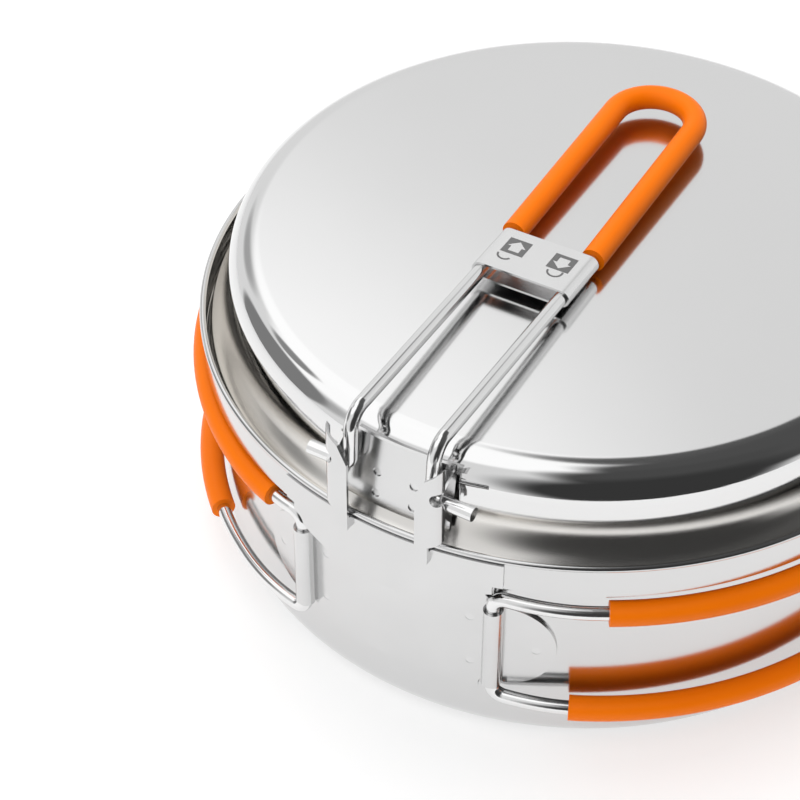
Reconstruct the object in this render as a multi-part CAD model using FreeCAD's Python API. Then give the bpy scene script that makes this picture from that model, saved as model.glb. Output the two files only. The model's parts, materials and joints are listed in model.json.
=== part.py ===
"""Camping cook set: a shallow pot with two folding wire handles, and a frying pan
that turns over to be its lid, with a wire handle that folds over the pan's base.

Millimetres.  +Z is up, the origin is the centre of the pot's flat bottom, and the
handle bracket faces -Y.  The set is modelled packed: pan on pot, handles folded.
"""
import FreeCAD
import Part
import math
import os

V = FreeCAD.Vector
UP = V(0, 0, 1)
ORIGIN = V(0, 0, 0)

# ---- driving dimensions -------------------------------------------------------
SHEET = 0.6                   # pot and pan sheet
PLATE = 0.7                   # bracket sheet
WIRE_R = 1.5                  # handle wire radius
BORE_R = WIRE_R + 0.05        # hinge eye around a handle wire
SLEEVE_R = 2.7                # silicone sleeve, outside
SLEEVE_BORE_R = WIRE_R + 0.02

POT_WALL_R = 80.0             # outside of the wall
POT_CORNER_R = 9.0            # bottom corner, outside
COLLAR_R = 83.7               # outside of the widened collar that takes the pan
STEP_Z = 48.85                # where the wall turns out into the collar
STEP_RISE = 1.5
RIM_Z = 58.05                 # centre of the rolled rim
RIM_R = 83.5
RIM_BEAD_R = 0.7
PAN_BEAD_TUBE_R = 0.9

PAN_BASE_Z = 76.15            # the pan's base, uppermost when it is the lid
PAN_BASE_R = 70.3             # where the base starts to turn down
PAN_CORNER_R = 7.0
PAN_FLARE_Z = 64.0            # where the pan's wall starts to flare out
PAN_FLARE_R = 10.0
PAN_FLARE_DROP = 8.0
PAN_LIP_R = 1.5               # rounded edge between the flare and the skirt
PAN_BEAD_R = 81.6
PAN_BEAD_Z = 51.2

PIVOT_Y = -81.2               # hinge line of the pan's handle
PIVOT_Z = 69.05
WIRE_X = 9.4                  # half the gap between the pan handle's wires
ROD_TIP_X = 18.9              # how far the wire's turned-out ends reach
LEG_TOP_Y = -80.4
LEG_TOP_Z = 81.65
KINK_Y = -12.0                # where the handle turns up again, under the lock
KINK_Z = 79.35
LOOP_Y = 47.1
LOOP_Z = 80.85
LEG_BEND_R = 4.2
ROD_BEND_R = 1.6
GRIP_START_Y = -11.6          # where its sleeve starts

LOCK_FRONT_Y = -26.8          # sliding lock on the two wires
LOCK_LENGTH = 13.9
LOCK_SHEET = 0.5
HANDLE_YAW = 1.4              # degrees that the handle leans towards -X over the base

HINGE_R = 82.15               # upright hinge lines of the pot's handles
HINGE_ANGLE = 16.1            # degrees either side of the front
HINGE_TOP_Z = 42.1
HINGE_BOTTOM_Z = 20.0
ARM_TOP_Z = 45.85
ARM_BOTTOM_Z = 16.85
ARM_R = 83.5                  # the folded arm follows the wall at this radius
ARM_JOIN_ANGLE = 30.0         # where the arm starts to follow the wall
ARM_END_ANGLE = 80.0          # where the arms turn into the loop
ARM_BEND_R = 3.0
TIP_GAP = 4.0                 # between the wire's two ends inside the eye
RIGHT_HANDLE_AJAR = 1.3       # degrees that the right handle stands off the wall

EYE_WALL_R = BORE_R + 0.55
WELD_R = 1.0


# ---- small geometry helpers ---------------------------------------------------
def polar(radius, degrees, z=0.0):
    """Point at a radius, with the angle counted from the front (-Y) towards +X."""
    turn = math.radians(degrees)
    return V(radius * math.sin(turn), -radius * math.cos(turn), z)


def revolved(points):
    """Solid of revolution; a point with three values is reached by an arc of that radius."""
    edges = []
    for start, end in zip(points, points[1:] + points[:1]):
        a = V(start[0], 0, start[1])
        b = V(end[0], 0, end[1])
        if len(end) == 2:
            edges.append(Part.LineSegment(a, b).toShape())
            continue
        half = (b - a) * 0.5
        bulge = end[2] - math.copysign(math.sqrt(end[2] ** 2 - half.Length ** 2), end[2])
        side = V(half.z, 0, -half.x).normalize()
        edges.append(Part.Arc(a, a + half + side * bulge, b).toShape())
    face = Part.Face(Part.Wire(edges))
    return face.revolve(ORIGIN, UP, 360)


def sector(inner, outer, z_low, z_high, from_deg, to_deg):
    """Piece of a cylindrical wall between two angles."""
    outline = [polar(inner, from_deg, z_low), polar(outer, from_deg, z_low),
               polar(outer, from_deg, z_high), polar(inner, from_deg, z_high)]
    face = Part.Face(Part.makePolygon(outline + outline[:1]))
    return face.revolve(ORIGIN, UP, to_deg - from_deg)


def radial_cylinder(radius, degrees, z, from_r, to_r):
    """Cylinder whose axis runs straight out from the pot's axis."""
    return Part.makeCylinder(radius, to_r - from_r, polar(from_r, degrees, z), polar(1.0, degrees))


def bend(corner, way_in, way_out, radius):
    """Start point, arc edge and end point of a round bend at a corner."""
    turn = way_in.getAngle(way_out)
    reach = radius * math.tan(turn / 2)
    start = corner - way_in * reach
    end = corner + way_out * reach
    inward = (way_out - way_in).normalize()
    middle = corner + inward * (radius / math.cos(turn / 2) - radius)
    return start, Part.Arc(start, middle, end).toShape(), end


def rounded_path(points, radii):
    """Edges of straight runs joined by tangent arcs, one radius per inner point."""
    edges = []
    here = points[0]
    for before, corner, after, radius in zip(points, points[1:], points[2:], radii):
        way_in = (corner - before).normalize()
        way_out = (after - corner).normalize()
        start, arc, end = bend(corner, way_in, way_out, radius)
        if (start - here).Length > 1e-4:
            edges.append(Part.LineSegment(here, start).toShape())
        edges.append(arc)
        here = end
    if (points[-1] - here).Length > 1e-4:
        edges.append(Part.LineSegment(here, points[-1]).toShape())
    return edges


def swept(edges, radius):
    """Round rod along a smooth path."""
    first = edges[0]
    tangent = first.tangentAt(first.FirstParameter)
    section = Part.Wire(Part.makeCircle(radius, first.valueAt(first.FirstParameter), tangent))
    return Part.Wire(edges).makePipeShell([section], True, False)


def mirrored(shape):
    return shape.mirror(ORIGIN, V(1, 0, 0))


# ---- pot ----------------------------------------------------------------------
def make_pot_body():
    """Drawn pot: flat bottom, round corner, wall, widened collar and rolled rim."""
    flat = POT_WALL_R - POT_CORNER_R
    inner_wall = POT_WALL_R - SHEET
    inner_collar = COLLAR_R - SHEET
    step_top = STEP_Z + STEP_RISE
    shell = revolved([
        (0, 0), (flat, 0), (POT_WALL_R, POT_CORNER_R, POT_CORNER_R),
        (POT_WALL_R, STEP_Z), (COLLAR_R, step_top), (COLLAR_R, RIM_Z),
        (inner_collar, RIM_Z), (inner_collar, step_top + 0.3), (inner_wall, STEP_Z + 0.3),
        (inner_wall, POT_CORNER_R), (flat, SHEET, SHEET - POT_CORNER_R), (0, SHEET)])
    return shell.fuse(Part.makeTorus(RIM_R, RIM_BEAD_R, V(0, 0, RIM_Z)))


BRACKET_BOTTOM_Z = 16.4
BRACKET_INNER_R = POT_WALL_R + 0.05
LAP_INNER_R = COLLAR_R + 0.1
LAP_R = 84.4                  # outside of the bracket where it laps over the collar
LAP_TOP_Z = 57.2              # just under the rolled rim
LAP_ANGLE = 17.6
LAP_EDGE_Z = 50.9             # outer corners of the lap start at this height
CREASE_Z = 41.6               # lowest point of the curved crease under the lap
CREASE_ARC_R = 48.5           # radius of that crease, seen from the front
TONGUE_R = 11.2
TONGUE_ANGLE = 17.4
TONGUE_Z = 30.35
NOTCH_R = 2.7                 # opening over each hinge eye
NOTCH_Z = 46.0
POT_WELDS = [(12.4, 36.85), (12.6, 23.75), (22.4, 30.05)]   # angle, height
TAB_X = 7.8                   # inner edge of each upright tab
TAB_FRONT_Y = -85.3
TAB_FOOT_Z = 54.3
TAB_CURL_X = 11.2             # centre of the tab's curled edge
TAB_CURL_R = 2.25


def above_crease(lift):
    """Round bar, seen end-on from the front, whose underside follows the curved crease."""
    return Part.makeCylinder(CREASE_ARC_R - lift, 60, V(0, -100, CREASE_Z + CREASE_ARC_R), V(0, 1, 0))


def make_plate():
    """Plate on the wall, a narrow step out along the crease, and the lap over the collar."""
    reach = HINGE_ANGLE + 0.4
    plate_r = BRACKET_INNER_R + PLATE
    plate = sector(BRACKET_INNER_R, plate_r, BRACKET_BOTTOM_Z, STEP_Z - 0.3, -reach, reach)
    plate = plate.cut(above_crease(PLATE))
    step = sector(BRACKET_INNER_R, LAP_R, CREASE_Z - 4, STEP_Z - 0.3, -reach, reach)
    plate = plate.fuse(step.common(above_crease(0)).cut(above_crease(PLATE)))
    lap = sector(LAP_INNER_R, LAP_R, CREASE_Z - 4, LAP_TOP_Z, -LAP_ANGLE, LAP_ANGLE)
    return plate.fuse(lap.common(above_crease(0)))


def make_tab():
    """Right-hand tab in front of the rim, its outer edge curled in round the pan's rod."""
    inner_y = TAB_FRONT_Y + PLATE
    end_y = TAB_FRONT_Y + TAB_CURL_R
    slant = TAB_CURL_R * math.sqrt(0.5)
    inner_slant = (TAB_CURL_R - PLATE) * math.sqrt(0.5)
    outer_x = TAB_CURL_X + TAB_CURL_R
    plan = [
        Part.LineSegment(V(TAB_X, inner_y, 0), V(TAB_X, TAB_FRONT_Y, 0)),
        Part.LineSegment(V(TAB_X, TAB_FRONT_Y, 0), V(TAB_CURL_X, TAB_FRONT_Y, 0)),
        Part.Arc(V(TAB_CURL_X, TAB_FRONT_Y, 0), V(TAB_CURL_X + slant, end_y - slant, 0), V(outer_x, end_y, 0)),
        Part.LineSegment(V(outer_x, end_y, 0), V(outer_x - PLATE, end_y, 0)),
        Part.Arc(V(outer_x - PLATE, end_y, 0), V(TAB_CURL_X + inner_slant, end_y - inner_slant, 0),
                 V(TAB_CURL_X, inner_y, 0)),
        Part.LineSegment(V(TAB_CURL_X, inner_y, 0), V(TAB_X, inner_y, 0))]
    face = Part.Face(Part.Wire([curve.toShape() for curve in plan]))
    tab = face.extrude(V(0, 0, 40)).translate(V(0, 0, 53.5))
    # The side view, seen from the front: straight inner edge, root relief, notch and sloping top.
    side = [
        V(TAB_X, -90, 54.3), V(10.8, -90, 54.3), V(10.8, -90, 59.0), V(20, -90, 64.4),
        V(20, -90, 70.8), V(12.9, -90, 70.8), V(12.9, -90, 74.2), V(20, -90, 74.2),
        V(20, -90, 81.4), V(13.4, -90, 80.0), V(12.2, -90, 78.8), V(9.9, -90, 76.6), V(TAB_X, -90, 72.2)]
    front_view = Part.Face(Part.makePolygon(side + side[:1])).extrude(V(0, 15, 0))
    notch_end = Part.makeCylinder(1.7, 12, V(12.9, -90, 72.5), V(0, 1, 0))
    return tab.common(front_view).cut(notch_end)


def make_hinge_eye():
    """Right-hand half-round eye pressed into the bracket for a handle's upright hinge wire."""
    foot = polar(HINGE_R, HINGE_ANGLE, HINGE_BOTTOM_Z)
    return Part.makeCylinder(EYE_WALL_R, HINGE_TOP_Z - HINGE_BOTTOM_Z, foot)


def make_pot_bracket():
    """One pressed plate: hugs the wall, laps over the collar, holds both hinges and the tabs."""
    plate = make_plate()
    for side in (-1, 1):
        spot = side * HINGE_ANGLE
        tongue_disc = radial_cylinder(TONGUE_R, side * TONGUE_ANGLE, TONGUE_Z, 70, 95)
        edge = sorted((spot, side * 27))
        tongue = sector(BRACKET_INNER_R, BRACKET_INNER_R + PLATE, 10, 45, edge[0], edge[1]).common(tongue_disc)
        foot = Part.makeBox(3.0, 1.85, LAP_TOP_Z - TAB_FOOT_Z, V(TAB_X, TAB_FRONT_Y, TAB_FOOT_Z))
        plate = plate.fuse(tongue)
        for piece in (foot, make_hinge_eye(), make_tab()):
            plate = plate.fuse(piece if side > 0 else mirrored(piece))
    for side in (-1, 1):
        spot = side * HINGE_ANGLE
        outboard = sorted((spot, side * 40))
        openings = [
            Part.makeCylinder(BORE_R, HINGE_TOP_Z + 2.6, polar(HINGE_R, spot)),
            radial_cylinder(NOTCH_R, spot, NOTCH_Z, 70, 95),
            radial_cylinder(3.1, spot, ARM_BOTTOM_Z + 0.3, 70, 95),
            sector(BRACKET_INNER_R, 90, HINGE_TOP_Z, LAP_EDGE_Z, outboard[0], outboard[1])]
        openings += [radial_cylinder(WELD_R, side * angle, height, 75, 83) for angle, height in POT_WELDS]
        for opening in openings:
            plate = plate.cut(opening)
    return plate


def make_pot_welds():
    """Spot welds that hold the bracket, slightly sunk below its face."""
    spots = []
    for side in (-1, 1):
        for angle, height in POT_WELDS:
            nugget = radial_cylinder(WELD_R, side * angle, height, 75, 83)
            ring = sector(POT_WALL_R, BRACKET_INNER_R + PLATE - 0.04, height - 3, height + 3,
                          side * angle - 3, side * angle + 3)
            spots.append(nugget.common(ring))
    return Part.makeCompound(spots)


# ---- pot handles ----------------------------------------------------------------
def arm_start_radius():
    """Plan radius of the arm's first curve: tangent to the hinge bend and to the main curve."""
    spread = math.cos(math.radians(ARM_JOIN_ANGLE - HINGE_ANGLE))
    top = HINGE_R ** 2 + ARM_R ** 2 - 2 * HINGE_R * ARM_R * spread - ARM_BEND_R ** 2
    return top / (2 * (ARM_R - HINGE_R * spread))


def arm_point(degrees, z):
    """Point on the right arm's centre line at this angle round the pot."""
    if degrees >= ARM_JOIN_ANGLE:
        return polar(ARM_R, degrees, z)
    first_r = arm_start_radius()
    centre = polar(ARM_R - first_r, ARM_JOIN_ANGLE)
    ray = polar(1.0, degrees)
    along = centre.dot(ray)
    distance = along + math.sqrt(along ** 2 - centre.Length ** 2 + first_r ** 2)
    return V(ray.x * distance, ray.y * distance, z)


def arm_begin_angle():
    """Angle at which the bend out of the hinge meets the arm's first curve."""
    hinge = polar(HINGE_R, HINGE_ANGLE)
    spoke = hinge - polar(ARM_R - arm_start_radius(), ARM_JOIN_ANGLE)
    swing = math.atan2(ARM_BEND_R, arm_start_radius())
    heading = math.atan2(spoke.x, -spoke.y) + swing
    begin = polar(ARM_R - arm_start_radius(), ARM_JOIN_ANGLE) + polar(arm_start_radius(), math.degrees(heading))
    return math.degrees(math.atan2(begin.x, -begin.y))


def arm_edges(from_deg, z):
    """Arcs of one arm, from an angle round to the loop."""
    stops = [from_deg, ARM_END_ANGLE]
    if from_deg < ARM_JOIN_ANGLE:
        stops.insert(1, ARM_JOIN_ANGLE)
    arcs = []
    for low, high in zip(stops, stops[1:]):
        ends = [arm_point(angle, z) for angle in (low, (low + high) / 2, high)]
        arcs.append(Part.Arc(ends[0], ends[1], ends[2]).toShape())
    return arcs


def loop_edges():
    """Half circle at the far end of a pot handle, from the upper arm down to the lower one."""
    radius = (ARM_TOP_Z - ARM_BOTTOM_Z) / 2
    far = polar(1.0, ARM_END_ANGLE + 90) * radius
    top = arm_point(ARM_END_ANGLE, ARM_TOP_Z)
    bottom = arm_point(ARM_END_ANGLE, ARM_BOTTOM_Z)
    return [Part.Arc(top, (top + bottom) * 0.5 + far, bottom).toShape()]


def make_pot_handle_wire():
    """Right handle wire: both ends turn into the hinge eye, the arms follow the wall."""
    hinge = polar(HINGE_R, HINGE_ANGLE)
    middle = (HINGE_TOP_Z + HINGE_BOTTOM_Z) / 2
    begin_angle = arm_begin_angle()
    sides = []
    for z, end_z in ((ARM_TOP_Z, middle + TIP_GAP / 2), (ARM_BOTTOM_Z, middle - TIP_GAP / 2)):
        corner = V(hinge.x, hinge.y, z)
        way_out = (arm_point(begin_angle, z) - corner).normalize()
        tip = V(hinge.x, hinge.y, end_z)
        bend_start, arc, _ = bend(corner, (corner - tip).normalize(), way_out, ARM_BEND_R)
        sides.append([Part.LineSegment(tip, bend_start).toShape(), arc] + arm_edges(begin_angle, z))
    upper, lower = sides
    return swept(upper + loop_edges() + lower[::-1], WIRE_R)


def make_pot_handle_grip(upper_start, lower_start):
    """Silicone sleeve pushed round the handle's loop; its ends sit where it has slid to."""
    edges = arm_edges(upper_start, ARM_TOP_Z) + loop_edges() + arm_edges(lower_start, ARM_BOTTOM_Z)[::-1]
    return swept(edges, SLEEVE_R).cut(swept(edges, SLEEVE_BORE_R))


def ajar(shape):
    """Swings a right-hand part a little way out about its hinge."""
    return shape.rotate(polar(HINGE_R, HINGE_ANGLE), V(0, 0, -1), RIGHT_HANDLE_AJAR)


# ---- pan ------------------------------------------------------------------------
def pan_section(inset):
    """Corner radius, flare end, lip centre and skirt radius of the pan, this far inside its skin."""
    wall = PAN_BASE_R + PAN_CORNER_R
    across = math.sqrt(PAN_FLARE_R ** 2 - PAN_FLARE_DROP ** 2) / PAN_FLARE_R
    down = PAN_FLARE_DROP / PAN_FLARE_R
    reach = PAN_FLARE_R + inset
    flare_end = (wall + PAN_FLARE_R - reach * across, PAN_FLARE_Z - reach * down)
    lip_reach = PAN_FLARE_R + PAN_LIP_R
    lip_x = wall + PAN_FLARE_R - lip_reach * across
    lip_z = PAN_FLARE_Z - lip_reach * down
    return flare_end, lip_z, lip_x + PAN_LIP_R - inset


def make_pan_body():
    """Drawn pan, upside down: flat base, round corner, wall, flare, skirt and rolled rim."""
    wall = PAN_BASE_R + PAN_CORNER_R
    corner_z = PAN_BASE_Z - PAN_CORNER_R
    outer_flare, lip_z, outer_skirt = pan_section(0)
    inner_flare, _, inner_skirt = pan_section(SHEET)
    shell = revolved([
        (0, PAN_BASE_Z), (0, PAN_BASE_Z - SHEET), (PAN_BASE_R, PAN_BASE_Z - SHEET),
        (wall - SHEET, corner_z, SHEET - PAN_CORNER_R), (wall - SHEET, PAN_FLARE_Z),
        inner_flare + (PAN_FLARE_R + SHEET,), (inner_skirt, lip_z, SHEET - PAN_LIP_R),
        (inner_skirt, PAN_BEAD_Z), (outer_skirt, PAN_BEAD_Z), (outer_skirt, lip_z),
        outer_flare + (PAN_LIP_R,), (wall, PAN_FLARE_Z, -PAN_FLARE_R), (wall, corner_z),
        (PAN_BASE_R, PAN_BASE_Z, PAN_CORNER_R)])
    return shell.fuse(Part.makeTorus(PAN_BEAD_R, PAN_BEAD_TUBE_R, V(0, 0, PAN_BEAD_Z)))


PAN_PLATE_LOW = (80.5, 59.45)     # outside radius and height of the bracket's lower edge
PAN_PLATE_HIGH = (78.4, 75.75)
PAN_WELDS = [62.4, 67.6]          # heights
PAN_WELD_ANGLE = 3.05
EAR_X = 12.0                      # inner face of each ear
EAR_SHEET = 0.5
EAR_NOSE = 2.0                    # how far the ear reaches past the hinge line


def cone_shell(inset, depth):
    """Leaning ring that the pan bracket's back plate is cut from."""
    low_r, low_z = PAN_PLATE_LOW
    high_r, high_z = PAN_PLATE_HIGH
    return revolved([(low_r - inset, low_z), (high_r - inset, high_z),
                     (high_r - inset - depth, high_z), (low_r - inset - depth, low_z)])


def make_pan_bracket():
    """Back plate welded to the pan's wall, with two ears for the handle's hinge."""
    width = 2 * (EAR_X + EAR_SHEET)
    slab = Part.makeBox(width, 30, 40, V(-width / 2, -90, 45))
    plate = cone_shell(0, PLATE).common(slab)
    nose_y = PIVOT_Y - EAR_NOSE
    outline = [V(0, nose_y, PIVOT_Z - 1.2), V(0, nose_y, PIVOT_Z + 1.2), V(0, nose_y + 1.0, PIVOT_Z + 3.0),
               V(0, -78.0, PIVOT_Z + 5.6), V(0, -76.0, PIVOT_Z + 5.6), V(0, -76.0, PIVOT_Z - 8.0),
               V(0, -78.6, PIVOT_Z - 8.0), V(0, nose_y + 1.0, PIVOT_Z - 3.0)]
    ear = Part.Face(Part.makePolygon(outline + outline[:1])).extrude(V(EAR_SHEET, 0, 0))
    inside = cone_shell(PLATE, 20)
    bracket = plate
    for x in (EAR_X, -EAR_X - EAR_SHEET):
        bracket = bracket.fuse(ear.translated(V(x, 0, 0)).cut(inside))
    bracket = bracket.cut(Part.makeCylinder(BORE_R, 40, V(-20, PIVOT_Y, PIVOT_Z), V(1, 0, 0)))
    for side in (-1, 1):
        for height in PAN_WELDS:
            bracket = bracket.cut(radial_cylinder(WELD_R, side * PAN_WELD_ANGLE, height, 70, 90))
    return bracket.removeSplitter()


def make_pan_welds():
    """Spot welds at the bottom of the bracket's four dimples."""
    wall_r = PAN_BASE_R + PAN_CORNER_R
    flare_end, lip_z, _ = pan_section(0)
    wall = revolved([(0, lip_z), (flare_end[0], lip_z), flare_end, (wall_r, PAN_FLARE_Z, -PAN_FLARE_R),
                     (wall_r, PAN_BASE_Z), (0, PAN_BASE_Z)])
    dimple = cone_shell(0.3, 20)
    spots = []
    for side in (-1, 1):
        for height in PAN_WELDS:
            nugget = radial_cylinder(WELD_R, side * PAN_WELD_ANGLE, height, 70, 90)
            spots.append(nugget.common(dimple).cut(wall))
    return Part.makeCompound(spots)


# ---- pan handle -------------------------------------------------------------------
def yawed(thing):
    """Turns a point or a shape of the handle a little about its legs' upper bends."""
    pin = V(0, LEG_TOP_Y, 0)
    if isinstance(thing, V):
        return FreeCAD.Rotation(UP, HANDLE_YAW).multVec(thing - pin) + pin
    return thing.rotate(pin, UP, HANDLE_YAW)


def make_pan_handle_wire():
    """One wire: rod, leg, run over the base, loop, and back the same way."""
    rod = [V(ROD_TIP_X, PIVOT_Y, PIVOT_Z), V(WIRE_X, PIVOT_Y, PIVOT_Z)]
    run = [V(WIRE_X, LEG_TOP_Y, LEG_TOP_Z), V(WIRE_X, KINK_Y, KINK_Z), V(WIRE_X, LOOP_Y, LOOP_Z)]
    over = [yawed(point) for point in run + [V(-point.x, point.y, point.z) for point in reversed(run)]]
    radii = [ROD_BEND_R, LEG_BEND_R, 40.0, WIRE_X]
    left_rod = [V(-point.x, point.y, point.z) for point in reversed(rod)]
    return swept(rounded_path(rod + over + left_rod, radii + radii[::-1]), WIRE_R)


def make_pan_handle_grip():
    """Silicone sleeve over the far loop of the pan's handle."""
    rise = (LOOP_Z - KINK_Z) / (LOOP_Y - KINK_Y)
    begin = V(WIRE_X, GRIP_START_Y, KINK_Z + (GRIP_START_Y - KINK_Y) * rise)
    points = [begin, V(WIRE_X, LOOP_Y, LOOP_Z), V(-WIRE_X, LOOP_Y, LOOP_Z), V(-WIRE_X, begin.y, begin.z)]
    edges = rounded_path([yawed(point) for point in points], [WIRE_X, WIRE_X])
    return swept(edges, SLEEVE_R).cut(swept(edges, SLEEVE_BORE_R))


def make_handle_lock():
    """Flattened tube of sheet that slides along the two wires."""
    way = (V(0, KINK_Y, KINK_Z) - V(0, LEG_TOP_Y, LEG_TOP_Z)).normalize()
    height = LEG_TOP_Z + (LOCK_FRONT_Y - LEG_TOP_Y) * way.z / way.y

    def flat_tube(radius):
        low = V(0, 0, -radius)
        high = V(0, 0, radius)
        side = V(WIRE_X, 0, 0)
        tip = V(WIRE_X + radius, 0, 0)
        curves = [Part.LineSegment(low - side, low + side), Part.Arc(low + side, tip, high + side),
                  Part.LineSegment(high + side, high - side), Part.Arc(high - side, tip * -1, low - side)]
        return Part.Face(Part.Wire([curve.toShape() for curve in curves])).extrude(V(0, LOCK_LENGTH, 0))

    tube = flat_tube(BORE_R + LOCK_SHEET).cut(flat_tube(BORE_R))
    tube.rotate(ORIGIN, V(1, 0, 0), math.degrees(math.atan2(way.z, way.y)))
    return yawed(tube.translate(V(0, LOCK_FRONT_Y, height)))


def export(name, shape):
    shape.exportStep(os.path.join("parts", name + ".step"))
    solids = [round(solid.Volume, 1) for solid in shape.Solids]
    print(name, "valid", shape.isValid(), "solids", solids)


def main():
    os.makedirs("parts", exist_ok=True)
    export("pot_body", make_pot_body())
    export("pot_bracket", make_pot_bracket())
    export("pot_bracket_welds", make_pot_welds())
    wire = make_pot_handle_wire()
    export("right_pot_handle_wire", ajar(wire.copy()))
    export("left_pot_handle_wire", mirrored(wire))
    export("right_pot_handle_grip", ajar(make_pot_handle_grip(32.3, 27.6)))
    export("left_pot_handle_grip", mirrored(make_pot_handle_grip(22.0, 41.5)))
    export("pan_body", make_pan_body())
    export("pan_bracket", make_pan_bracket())
    export("pan_bracket_welds", make_pan_welds())
    export("pan_handle_wire", make_pan_handle_wire())
    export("pan_handle_grip", make_pan_handle_grip())
    export("handle_lock", make_handle_lock())


main()
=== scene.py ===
"""Looks of the camping cook set: materials, printed signs, floor, light and camera."""
import json
import math

import bmesh
import bpy
from mathutils import Matrix, Vector


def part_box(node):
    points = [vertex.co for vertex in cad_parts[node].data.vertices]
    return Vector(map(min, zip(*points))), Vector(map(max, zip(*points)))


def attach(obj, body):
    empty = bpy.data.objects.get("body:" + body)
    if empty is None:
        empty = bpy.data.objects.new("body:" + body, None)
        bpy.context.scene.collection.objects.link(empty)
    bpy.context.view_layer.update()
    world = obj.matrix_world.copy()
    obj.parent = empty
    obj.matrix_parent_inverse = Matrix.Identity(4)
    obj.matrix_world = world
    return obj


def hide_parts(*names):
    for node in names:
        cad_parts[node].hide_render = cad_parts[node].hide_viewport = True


MM = 0.001

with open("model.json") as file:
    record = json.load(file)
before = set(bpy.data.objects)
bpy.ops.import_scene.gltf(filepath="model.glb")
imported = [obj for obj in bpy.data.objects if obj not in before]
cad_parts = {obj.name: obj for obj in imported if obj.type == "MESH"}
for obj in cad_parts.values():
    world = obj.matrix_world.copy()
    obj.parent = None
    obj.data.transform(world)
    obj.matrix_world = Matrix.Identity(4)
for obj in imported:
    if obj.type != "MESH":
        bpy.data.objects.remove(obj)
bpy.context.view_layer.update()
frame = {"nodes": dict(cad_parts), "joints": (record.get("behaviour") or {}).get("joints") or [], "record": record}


def add_object(name, data):
    made = bpy.data.objects.new(name, data)
    bpy.context.scene.collection.objects.link(made)
    return made


# ---- node helpers ----------------------------------------------------------------
class Graph:
    """Thin wrapper that adds and links shader nodes."""

    def __init__(self, tree):
        self.tree = tree

    def node(self, kind, **settings):
        made = self.tree.nodes.new(kind)
        for name, value in settings.items():
            setattr(made, name, value)
        return made

    def link(self, source, target):
        self.tree.links.new(source, target)

    def feed(self, target, value):
        """Links a socket, or sets a plain number or colour."""
        if isinstance(value, bpy.types.NodeSocket):
            self.link(value, target)
        else:
            target.default_value = value

    def math(self, operation, first, second=0.0, clamp=False):
        made = self.node("ShaderNodeMath", operation=operation, use_clamp=clamp)
        self.feed(made.inputs[0], first)
        self.feed(made.inputs[1], second)
        return made.outputs[0]

    def remap(self, value, low, high, to_low=0.0, to_high=1.0):
        """Eases from to_low to to_high as value goes from low to high."""
        made = self.node("ShaderNodeMapRange", clamp=True, interpolation_type="SMOOTHSTEP")
        self.feed(made.inputs["Value"], value)
        self.feed(made.inputs["From Min"], low)
        self.feed(made.inputs["From Max"], high)
        self.feed(made.inputs["To Min"], to_low)
        self.feed(made.inputs["To Max"], to_high)
        return made.outputs["Result"]

    def mix(self, factor, first, second):
        made = self.node("ShaderNodeMix", data_type="RGBA")
        self.feed(made.inputs["Factor"], factor)
        self.feed(made.inputs[6], first)
        self.feed(made.inputs[7], second)
        return made.outputs[2]

    def noise(self, vector, scale, detail=2.0, roughness=0.5):
        made = self.node("ShaderNodeTexNoise")
        self.feed(made.inputs["Vector"], vector)
        made.inputs["Scale"].default_value = scale
        made.inputs["Detail"].default_value = detail
        made.inputs["Roughness"].default_value = roughness
        return made.outputs["Fac"]


def grey(value):
    return (value, value, value, 1.0)


def new_material(name):
    material = bpy.data.materials.new(name)
    material.use_nodes = True
    graph = Graph(material.node_tree)
    shader = material.node_tree.nodes["Principled BSDF"]
    return material, graph, shader


def object_coords(graph):
    return graph.node("ShaderNodeTexCoord").outputs["Object"]


def stretched(graph, coords, scale):
    """Coordinates scaled unevenly, for grain that runs one way."""
    made = graph.node("ShaderNodeMapping")
    graph.link(coords, made.inputs["Vector"])
    made.inputs["Scale"].default_value = scale
    return made.outputs["Vector"]


def around(graph, coords):
    """Cylindrical coordinates about the pot's axis (angle, radius, height), then radius and height."""
    split = graph.node("ShaderNodeSeparateXYZ")
    graph.link(coords, split.inputs[0])
    x, y, z = split.outputs
    squares = graph.math("ADD", graph.math("MULTIPLY", x, x), graph.math("MULTIPLY", y, y))
    radius = graph.math("SQRT", squares)
    angle = graph.math("ARCTAN2", y, x)
    joined = graph.node("ShaderNodeCombineXYZ")
    graph.link(angle, joined.inputs[0])
    graph.link(radius, joined.inputs[1])
    graph.link(z, joined.inputs[2])
    return joined.outputs[0], radius, z


# ---- materials ---------------------------------------------------------------------
# painted light: brighter, slightly warm base colour for the steel in the groove between pan and collar, standing
# in for its many reflections
GROOVE_PAINTED_LIGHT = (0.80, 0.78, 0.75, 1.0)
RING_SCALE = (3.0, 9000.0, 9000.0)       # long along the turn, fine across it
RING_SHARE = 0.35                        # of the fine rings in the unevenness; the rest is cloudy
CLOUD_SCALE = 28.0
TONE_SPREAD = 0.02
ROUGH_SPREAD = 0.024
RING_DEPTH = 0.02 * MM


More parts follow.
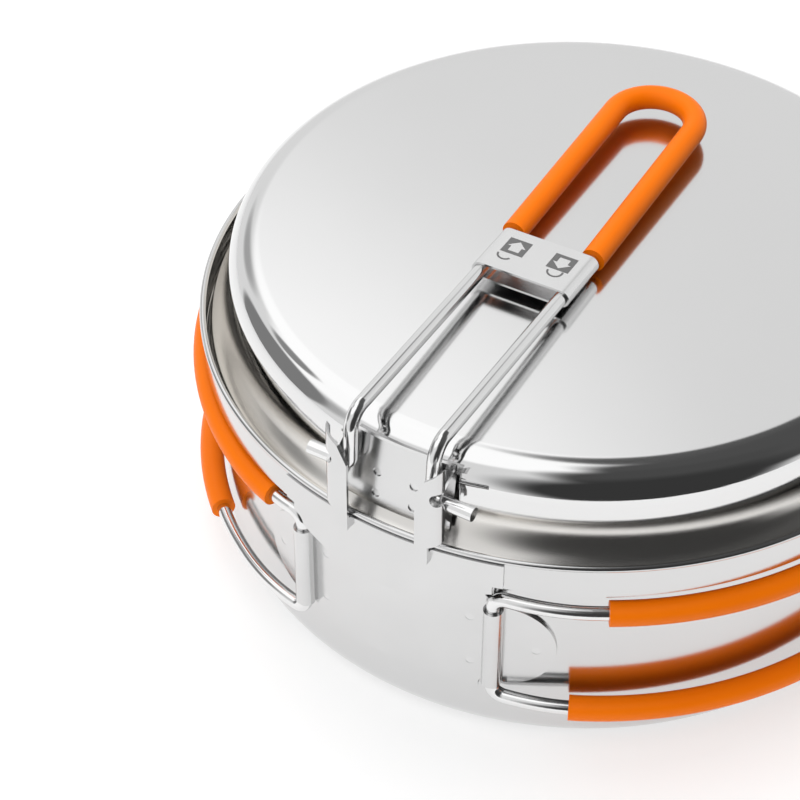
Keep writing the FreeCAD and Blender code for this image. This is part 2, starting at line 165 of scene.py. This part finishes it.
def turned_steel(name, tone, rough, bump, groove, zones=()):
    """Spun and polished sheet: fine rings round the pot's axis.

    Each zone gives the heights in mm between which the roughness changes to a new value. The groove
    between pan and collar is a deep pocket of many reflections, so its steel gets painted light: a brighter,
    slightly warm base colour that stands in for those reflections. groove gives the heights at which that
    painted light starts, is full, and has gone, and the radii where it starts and ends.
    """
    material, graph, shader = new_material(name)
    coords = object_coords(graph)
    ring, radius, z = around(graph, coords)
    fine = graph.noise(stretched(graph, ring, RING_SCALE), 1.0, 3.0)
    cloud = graph.noise(coords, CLOUD_SCALE, 3.0)
    shade = graph.math("ADD", graph.math("MULTIPLY", fine, RING_SHARE),
                       graph.math("MULTIPLY", cloud, 1.0 - RING_SHARE))
    colour = graph.mix(shade, grey(tone - TONE_SPREAD), grey(tone + TONE_SPREAD))
    bottom, low, high, inner, outer = [edge * MM for edge in groove]
    # painted light mask: where the groove's base colour is brightened to stand in for its many reflections
    painted_light_mask = graph.math("MULTIPLY", graph.remap(z, bottom, low), graph.remap(z, high, low))
    painted_light_mask = graph.math("MULTIPLY", painted_light_mask, graph.remap(radius, outer, inner))
    graph.link(graph.mix(painted_light_mask, colour, GROOVE_PAINTED_LIGHT), shader.inputs["Base Color"])
    value = rough
    for start, end, zone_rough in zones:
        inside = graph.remap(z, start * MM, end * MM)
        value = graph.math("ADD", graph.math("MULTIPLY", graph.math("SUBTRACT", 1.0, inside), value),
                           graph.math("MULTIPLY", inside, zone_rough))
    spread = graph.math("MULTIPLY", graph.math("SUBTRACT", shade, 0.5), ROUGH_SPREAD)
    graph.link(graph.math("ADD", value, spread, clamp=True), shader.inputs["Roughness"])
    shader.inputs["Metallic"].default_value = 1.0
    bumped = graph.node("ShaderNodeBump")
    bumped.inputs["Strength"].default_value = bump
    bumped.inputs["Distance"].default_value = RING_DEPTH
    graph.link(fine, bumped.inputs["Height"])
    graph.link(bumped.outputs[0], shader.inputs["Normal"])
    return material


NOISE_RANGE = (0.3, 0.7)                 # where most of a noise's values lie
MARK_SCALE = 90.0
MARK_TONE = 0.03
MARK_ROUGH = 0.025


def plain_steel(name, tone, rough):
    """Bright wire or pressed plate with slight handling marks."""
    material, graph, shader = new_material(name)
    coords = object_coords(graph)
    cloud = graph.noise(coords, MARK_SCALE, 4.0)
    colour = graph.mix(cloud, grey(tone - MARK_TONE), grey(tone + MARK_TONE))
    graph.link(colour, shader.inputs["Base Color"])
    uneven = graph.remap(cloud, *NOISE_RANGE, rough - MARK_ROUGH, rough + MARK_ROUGH)
    graph.link(uneven, shader.inputs["Roughness"])
    shader.inputs["Metallic"].default_value = 1.0
    return material


ORANGE = ((0.96, 0.18, 0.0, 1.0), (1.0, 0.21, 0.0, 1.0))
SLEEVE_ROUGH = (0.40, 0.50)


def silicone(name):
    """Matt orange silicone tube, slightly uneven in colour and gloss."""
    material, graph, shader = new_material(name)
    coords = object_coords(graph)
    cloud = graph.noise(coords, 60.0, 3.0)
    graph.link(graph.mix(cloud, *ORANGE), shader.inputs["Base Color"])
    speck = graph.noise(coords, 1500.0, 2.0)
    graph.link(graph.remap(speck, *NOISE_RANGE, *SLEEVE_ROUGH), shader.inputs["Roughness"])
    shader.inputs["Specular IOR Level"].default_value = 0.17
    return material


def ink(name):
    """Dark etched sign on the lock."""
    material, graph, shader = new_material(name)
    speck = graph.noise(object_coords(graph), 4000.0, 2.0)
    graph.link(graph.mix(speck, grey(0.13), grey(0.19)), shader.inputs["Base Color"])
    shader.inputs["Roughness"].default_value = 0.45
    shader.inputs["Metallic"].default_value = 0.3
    return material


MATERIALS = {
    "pot_steel": turned_steel("pot_steel", 0.665, 0.12, 0.12, (49.6, 50.6, 90.0, 83.25, 83.45)),
    "pan_steel": turned_steel("pan_steel", 0.76, 0.20, 0.10, (40.0, 62.5, 66.5, 90.0, 91.0),
                              zones=[(62.0, 66.0, 0.05), (75.4, 76.12, 0.13)]),
    "bracket_steel": plain_steel("bracket_steel", 0.675, 0.20),
    "weld_steel": plain_steel("weld_steel", 0.70, 0.24),
    "wire_steel": plain_steel("wire_steel", 0.80, 0.14),
    "lock_steel": plain_steel("lock_steel", 0.82, 0.20),
    "sleeve_silicone": silicone("sleeve_silicone"),
    "sign_ink": ink("sign_ink"),
}

for part in frame["record"]["subparts"]:
    node = frame["nodes"][part["node"]]
    node.data.materials.clear()
    node.data.materials.append(MATERIALS[part["material_slot"]])


# ---- pot and pan, turned finely so that their polish reflects cleanly -----------------
SHEET = 0.6                      # sizes in mm, as in the part
POT_WALL_R = 80.0
POT_CORNER_R = 9.0
COLLAR_R = 83.7
STEP_Z = 48.85
STEP_TOP = 50.35
STEP_SHEET = 0.3                 # the shoulder's inner face lies this much higher
RIM_BEAD = (83.5, 58.05, 0.7)    # centre radius, height and tube radius
PAN_BASE_Z = 76.15
PAN_WALL_R = 77.3
PAN_CORNER_R = 7.0
PAN_FLARE = (87.3, 64.0, 10.0)   # centre and radius of the flare's section
FLARE_TURN = 53.13               # degrees that the flare turns through
PAN_LIP_R = 1.5
PAN_BEAD = (81.6, 51.2, 0.9)
LATHE_STEPS = 400
SUPPORT = 0.15                   # extra rings this close to each edge keep long faces flat
LONG = 6 * SUPPORT               # straight stretches longer than this get them
MIN_LENGTH = 1e-6
SHARP_ANGLE = math.radians(28)


def ring_points(centre, radius, from_deg, to_deg, steps=24):
    spots = []
    for step in range(steps + 1):
        turn = math.radians(from_deg + (to_deg - from_deg) * step / steps)
        spots.append((centre[0] + radius * math.cos(turn), centre[1] + radius * math.sin(turn)))
    return spots


def bead_angle(bead, start, end):
    """Angle on the bead where the line from start to end first meets it, in degrees."""
    x, z, radius = bead
    dx = end[0] - start[0]
    dz = end[1] - start[1]
    px = start[0] - x
    pz = start[1] - z
    a = dx * dx + dz * dz
    b = px * dx + pz * dz
    reach = (-b - math.sqrt(b * b - a * (px * px + pz * pz - radius * radius))) / a
    return math.degrees(math.atan2(pz + dz * reach, px + dx * reach))


def pot_outline():
    """Closed half-section of the pot, from the middle of its bottom round to the inside."""
    corner = (POT_WALL_R - POT_CORNER_R, POT_CORNER_R)
    inner = COLLAR_R - SHEET
    x, z, tube = RIM_BEAD
    start = bead_angle(RIM_BEAD, (COLLAR_R, STEP_TOP), (COLLAR_R, z))
    end = bead_angle(RIM_BEAD, (inner, STEP_TOP), (inner, z)) + 360
    points = [(0.0, 0.0)] + ring_points(corner, POT_CORNER_R, -90, 0)
    points += [(POT_WALL_R, STEP_Z), (COLLAR_R, STEP_TOP)]
    points += ring_points((x, z), tube, start, end, 20)
    points += [(inner, STEP_TOP + STEP_SHEET), (POT_WALL_R - SHEET, STEP_Z + STEP_SHEET)]
    return points + ring_points(corner, POT_CORNER_R - SHEET, 0, -90) + [(0.0, SHEET)]


def pan_outline():
    """Closed half-section of the upturned pan, from the middle of its base to the rolled rim and back."""
    corner = (PAN_WALL_R - PAN_CORNER_R, PAN_BASE_Z - PAN_CORNER_R)
    flare = PAN_FLARE[:2]
    reach = PAN_FLARE[2] + PAN_LIP_R
    turn = math.radians(FLARE_TURN)
    lip = (flare[0] - reach * math.cos(turn), flare[1] - reach * math.sin(turn))
    outer = lip[0] + PAN_LIP_R
    x, z, tube = PAN_BEAD
    start = bead_angle(PAN_BEAD, (outer, lip[1]), (outer, z))
    end = bead_angle(PAN_BEAD, (outer - SHEET, lip[1]), (outer - SHEET, z)) - 360
    points = [(0.0, PAN_BASE_Z)] + ring_points(corner, PAN_CORNER_R, 90, 0, 36)
    points += ring_points(flare, PAN_FLARE[2], 180, 180 + FLARE_TURN, 24)
    points += ring_points(lip, PAN_LIP_R, FLARE_TURN, 0, 10)
    points += ring_points((x, z), tube, start, end, 24)
    points += ring_points(lip, PAN_LIP_R - SHEET, 0, FLARE_TURN, 6)
    points += ring_points(flare, PAN_FLARE[2] + SHEET, 180 + FLARE_TURN, 180, 20)
    return points + ring_points(corner, PAN_CORNER_R - SHEET, 0, 90) + [(0.0, PAN_BASE_Z - SHEET)]


def supported(points):
    """Adds a ring close to both ends of every long straight stretch."""
    out = [points[0]]
    for (ax, az), (bx, bz) in zip(points, points[1:]):
        length = math.hypot(bx - ax, bz - az)
        if length < MIN_LENGTH:
            continue
        if length > LONG:
            share = SUPPORT / length
            out += [(ax + (bx - ax) * share, az + (bz - az) * share),
                    (bx - (bx - ax) * share, bz - (bz - az) * share)]
        out.append((bx, bz))
    return out


def turned(name, outline, node, body, material):
    """Solid of revolution that takes the place of a CAD node."""
    points = supported(outline)
    verts = [(0.0, 0.0, points[0][1] * MM), (0.0, 0.0, points[-1][1] * MM)]
    rings = points[1:-1]
    for step in range(LATHE_STEPS):
        turn = 2 * math.pi * step / LATHE_STEPS
        for radius, height in rings:
            verts.append((radius * math.cos(turn) * MM, radius * math.sin(turn) * MM, height * MM))
    faces = []
    count = len(rings)
    for step in range(LATHE_STEPS):
        here = 2 + step * count
        there = 2 + (step + 1) % LATHE_STEPS * count
        faces.append((0, there, here))
        for ring in range(count - 1):
            faces.append((here + ring, there + ring, there + ring + 1, here + ring + 1))
        faces.append((1, here + count - 1, there + count - 1))
    mesh = bpy.data.meshes.new(name)
    mesh.from_pydata(verts, [], faces)
    mesh.update()
    solid = bmesh.new()
    solid.from_mesh(mesh)
    bmesh.ops.recalc_face_normals(solid, faces=solid.faces)
    solid.to_mesh(mesh)
    solid.free()
    mesh.shade_smooth()
    mesh.set_sharp_from_angle(angle=SHARP_ANGLE)
    mesh.materials.append(MATERIALS[material])
    made = add_object(name, mesh)
    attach(made, body)
    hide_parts(node)


turned("turned_pot", pot_outline(), "pot_body", "pot", "pot_steel")
turned("turned_pan", pan_outline(), "pan_body", "pan", "pan_steel")


# ---- signs on the lock -----------------------------------------------------------------
LOCK_RISE = 2.05 * MM            # from the wires' centre plane to the lock's top face
SIGN_LIFT = 0.03 * MM            # the mark stands this far off the face
SIGN_X = 5.4                     # the rest in mm: each sign's distance from the middle
SIGN_Y = 1.6                     # and its shift towards the loop
SIGN_HALF = 2.6                  # half the side of the square
ARROW = [(0.0, 2.0), (2.15, 0.0), (1.25, 0.0), (1.25, -1.7), (-1.25, -1.7), (-1.25, 0.0), (-2.15, 0.0)]
SHACKLE_DROP = 0.75              # from the square's edge to the shackle's centre
SHACKLE_OUTER_R = 1.85
SHACKLE_INNER_R = 1.4
SHACKLE_START = 180              # the shackle's ends, in degrees
SHUT_END = 380
OPEN_END = 330
OPEN_SHIFT = 0.9                 # an open shackle stands to one side


def lock_plane():
    """Matrix that puts flat artwork (x across, y towards the loop, in mm) on the lock's top face."""
    low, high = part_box("handle_lock")
    travel = next(joint for joint in frame["joints"] if joint["name"] == "lock_slide")
    along = -Vector(travel["axis"]).normalized()
    side = along.cross(Vector((0, 0, 1))).normalized()
    up = side.cross(along)
    middle = (low + high) / 2
    origin = middle + up * (LOCK_RISE + SIGN_LIFT)
    turn = Matrix((side, along, up)).transposed().to_4x4()
    return Matrix.Translation(origin) @ turn @ Matrix.Diagonal((MM, MM, MM, 1.0))


def sign_outlines(points_to_loop, shackle_open):
    """Padlock sign: a square body with an arrow left bare in it, and a shackle on the bracket's side."""
    flip = 1 if points_to_loop else -1
    arrow = [(x, y * flip) for x, y in ARROW]
    square = [(-SIGN_HALF, -SIGN_HALF), (SIGN_HALF, -SIGN_HALF),
              (SIGN_HALF, SIGN_HALF), (-SIGN_HALF, SIGN_HALF)]
    centre = (-OPEN_SHIFT if shackle_open else 0.0, -SIGN_HALF - SHACKLE_DROP)
    end = OPEN_END if shackle_open else SHUT_END
    outer = ring_points(centre, SHACKLE_OUTER_R, SHACKLE_START, end)
    inner = ring_points(centre, SHACKLE_INNER_R, SHACKLE_START, end)
    return [square, arrow, outer + inner[::-1]]


def sign(name, x, points_to_loop, shackle_open):
    """Flat dark mark that rides the lock."""
    curve = bpy.data.curves.new(name, "CURVE")
    curve.dimensions = "2D"
    curve.fill_mode = "BOTH"
    for outline in sign_outlines(points_to_loop, shackle_open):
        spline = curve.splines.new("POLY")
        spline.points.add(len(outline) - 1)
        for point, (px, py) in zip(spline.points, outline):
            point.co = (px, py, 0.0, 1.0)
        spline.use_cyclic_u = True
    flat = bpy.data.objects.new(name + "_outline", curve)
    mesh = bpy.data.meshes.new_from_object(flat)
    bpy.data.objects.remove(flat)
    mesh.transform(lock_plane() @ Matrix.Translation((x, SIGN_Y, 0.0)))
    mesh.materials.clear()
    mesh.materials.append(MATERIALS["sign_ink"])
    made = add_object(name, mesh)
    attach(made, "lock")


sign("sign_unlock", -SIGN_X, True, True)
sign("sign_lock", SIGN_X, False, False)


# ---- floor, light and camera -----------------------------------------------------------
FLOOR_SPAN = 6.0
FLOOR_FRONT = 0.26               # the table ends this far in front of the pot's axis
FLOOR_TURN = 31.0                # degrees between the table's front edge and the X axis
FLOOR_GLOW = 0.55


def make_floor():
    """Pale table top, lit a little from below like a light table, that ends in front of the pot."""
    mesh = bpy.data.meshes.new("floor")
    corners = [Vector((-FLOOR_SPAN, -FLOOR_FRONT, 0)), Vector((FLOOR_SPAN, -FLOOR_FRONT, 0)),
               Vector((FLOOR_SPAN, FLOOR_SPAN, 0)), Vector((-FLOOR_SPAN, FLOOR_SPAN, 0))]
    turn = Matrix.Rotation(math.radians(FLOOR_TURN), 3, "Z")
    mesh.from_pydata([turn @ corner for corner in corners], [], [(0, 1, 2, 3)])
    floor = add_object("floor", mesh)
    material, graph, shader = new_material("pale_floor")
    speck = graph.noise(object_coords(graph), 30.0, 3.0)
    graph.link(graph.mix(speck, grey(0.50), grey(0.52)), shader.inputs["Base Color"])
    shader.inputs["Roughness"].default_value = 0.8
    shader.inputs["Emission Color"].default_value = grey(1.0)
    shader.inputs["Emission Strength"].default_value = FLOOR_GLOW
    mesh.materials.append(material)


AZIMUTH = math.radians(31.0)
PITCH = math.radians(42.44)
DISTANCE = 0.5505              # depth of the rim's centre in front of the camera
LENS = 111.97
SENSOR = 36.0
FRAME_RIGHT = 0.2259           # where the rim's centre sits in the frame, from the middle
FRAME_UP = 0.1293
RIM_HEIGHT = 0.0578


def direction(azimuth, elevation):
    """Unit vector; azimuth 0 points to -Y and grows towards +X."""
    a = math.radians(azimuth)
    e = math.radians(elevation)
    return Vector((math.sin(a) * math.cos(e), -math.cos(a) * math.cos(e), math.sin(e)))


def make_camera():
    data = bpy.data.cameras.new("camera")
    data.lens = LENS
    data.sensor_width = SENSOR
    data.clip_start = 0.01
    data.clip_end = 50.0
    camera = add_object("camera", data)
    turn = Matrix.Rotation(AZIMUTH, 3, "Z")
    ahead = turn @ Vector((0, math.cos(PITCH), -math.sin(PITCH)))
    right = turn @ Vector((1, 0, 0))
    up = turn @ Vector((0, math.sin(PITCH), math.cos(PITCH)))
    per_frame = SENSOR / LENS
    ray = ahead + right * FRAME_RIGHT * per_frame + up * FRAME_UP * per_frame
    camera.location = Vector((0, 0, RIM_HEIGHT)) - ray * DISTANCE
    camera.rotation_euler = (math.pi / 2 - PITCH, 0, AZIMUTH)
    bpy.context.scene.camera = camera


TENT_LIGHT = 0.86

# azimuth, elevation, core angle, edge angle, brightness
WORLD_PATCHES = [
    (290.0, 68.0, 28.0, 36.0, 1.28),     # large softbox over the far left
    (228.0, 53.0, 13.0, 21.0, 1.30),     # and its lower end, behind
    (246.0, 26.0, 3.0, 12.0, 0.45),      # gaps between the tent's panels
    (306.0, 20.0, 5.0, 16.0, 0.50),
    (287.0, 13.0, 20.0, 24.0, 0.25),
    (270.0, 43.0, 5.0, 9.0, 0.30),
    (178.0, 61.0, 13.0, 20.0, 0.10),     # the photographer's dark side of the room
    (110.0, 58.0, 26.0, 34.0, 0.09),
    (95.0, 25.0, 18.0, 28.0, 0.09),
    (60.0, 50.0, 20.0, 32.0, 0.08),
    (48.0, 8.0, 30.0, 50.0, 0.045),
]


def make_world():
    """A white tent with soft boxes and a dark side, seen in the steel; plain white behind the set."""
    world = bpy.data.worlds.new("world")
    world.use_nodes = True
    bpy.context.scene.world = world
    tree = world.node_tree
    graph = Graph(tree)
    background = tree.nodes["Background"]
    way = graph.node("ShaderNodeTexCoord").outputs["Generated"]
    light = TENT_LIGHT
    for azimuth, elevation, core, edge, level in WORLD_PATCHES:
        dot = graph.node("ShaderNodeVectorMath", operation="DOT_PRODUCT")
        graph.link(way, dot.inputs[0])
        dot.inputs[1].default_value = direction(azimuth, elevation)
        near, far = math.cos(math.radians(core)), math.cos(math.radians(edge))
        amount = graph.remap(dot.outputs["Value"], far, near)
        keep = graph.math("MULTIPLY", graph.math("SUBTRACT", 1.0, amount), light)
        light = graph.math("ADD", keep, graph.math("MULTIPLY", amount, level))
    seen = graph.node("ShaderNodeLightPath").outputs["Is Camera Ray"]
    hidden = graph.math("SUBTRACT", 1.0, seen)
    total = graph.math("ADD", graph.math("MULTIPLY", hidden, light), seen)
    joined = graph.node("ShaderNodeCombineColor")
    for socket in joined.inputs[:3]:
        graph.link(total, socket)
    graph.link(joined.outputs[0], background.inputs["Color"])
    background.inputs["Strength"].default_value = 1.0


LIGHT_DISTANCE = 1.2
LIGHT_SIZE = 0.8
LIGHT_POWER = 5.0


def area_light(name, azimuth, elevation):
    """Soft square light aimed at the rim's centre, kept out of reflections."""
    data = bpy.data.lights.new(name, "AREA")
    data.shape = "SQUARE"
    data.size = LIGHT_SIZE
    data.energy = LIGHT_POWER
    lamp = add_object(name, data)
    way = direction(azimuth, elevation)
    lamp.location = way * LIGHT_DISTANCE + Vector((0, 0, RIM_HEIGHT))
    lamp.rotation_euler = way.to_track_quat("Z", "Y").to_euler()
    lamp.visible_glossy = False


make_floor()
make_world()
make_camera()
area_light("top_light", 200.0, 75.0)
area_light("fill_light", 25.0, 50.0)
bpy.context.scene.view_settings.view_transform = "Standard"
